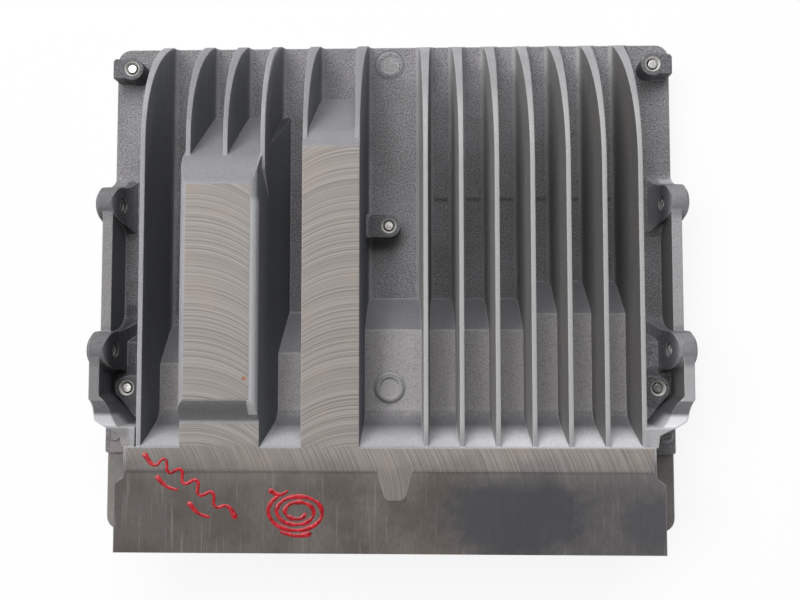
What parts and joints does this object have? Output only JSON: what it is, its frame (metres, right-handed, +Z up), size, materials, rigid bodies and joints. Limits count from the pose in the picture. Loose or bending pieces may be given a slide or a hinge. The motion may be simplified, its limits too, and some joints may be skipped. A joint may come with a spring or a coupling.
{
  "type": "engine control unit",
  "caption": "Flat cast-aluminium engine control unit with cooling fins, a connector hood along one edge, side fixing tabs and a rear cover tray.",
  "frame": {"origin": "middle of the unit's box on the cover's underside, which it lies on", "axes": "+X across the fins, +Y away from the connector face, +Z up from the cover through the fins"},
  "size_m": [0.2598, 0.2196, 0.0545],
  "materials": {
    "cast_aluminium": "as cast, weathered grey, milled on the high faces",
    "cover_aluminium": "smooth die cast",
    "screw_steel": "zinc plated",
    "black_plastic": "moulded, fine grain",
    "grey_plastic": "moulded",
    "seal_rubber": "cured silicone",
    "contact_metal": "plated",
    "board_laminate": "solder mask",
    "chip_resin": "moulded resin",
    "can_aluminium": "drawn can",
    "coil_wire": "enamelled copper",
    "ceramic": "sintered",
    "pad_silicone": "soft gap pad",
    "membrane": "porous film"
  },
  "bodies": {
    "root": {"finned_housing": "cast_aluminium", "back_cover": "cover_aluminium", "cover_screws": "screw_steel", "cover_seal": "seal_rubber", "connector_header": "black_plastic", "pin_carrier": "grey_plastic", "signal_pins": "contact_metal", "power_pins": "contact_metal", "header_seal": "seal_rubber", "header_screws": "screw_steel", "circuit_board": "board_laminate", "board_screws": "screw_steel", "processor": "chip_resin", "memory_chip": "chip_resin", "supply_chip": "chip_resin", "driver_chips": "chip_resin", "bus_transceivers": "chip_resin", "ignition_transistors": "chip_resin", "injector_transistors": "chip_resin", "heat_pads": "pad_silicone", "bulk_capacitors": "can_aluminium", "capacitor_sleeves": "black_plastic", "boost_coil_bobbins": "grey_plastic", "boost_coil_windings": "coil_wire", "shunt_resistors": "ceramic", "clock_crystal": "can_aluminium", "pressure_sensor": "can_aluminium", "clamp_diodes": "chip_resin", "ceramic_capacitors": "ceramic", "vent_plug": "black_plastic", "vent_membrane": "membrane"}
  },
  "joints": []
}
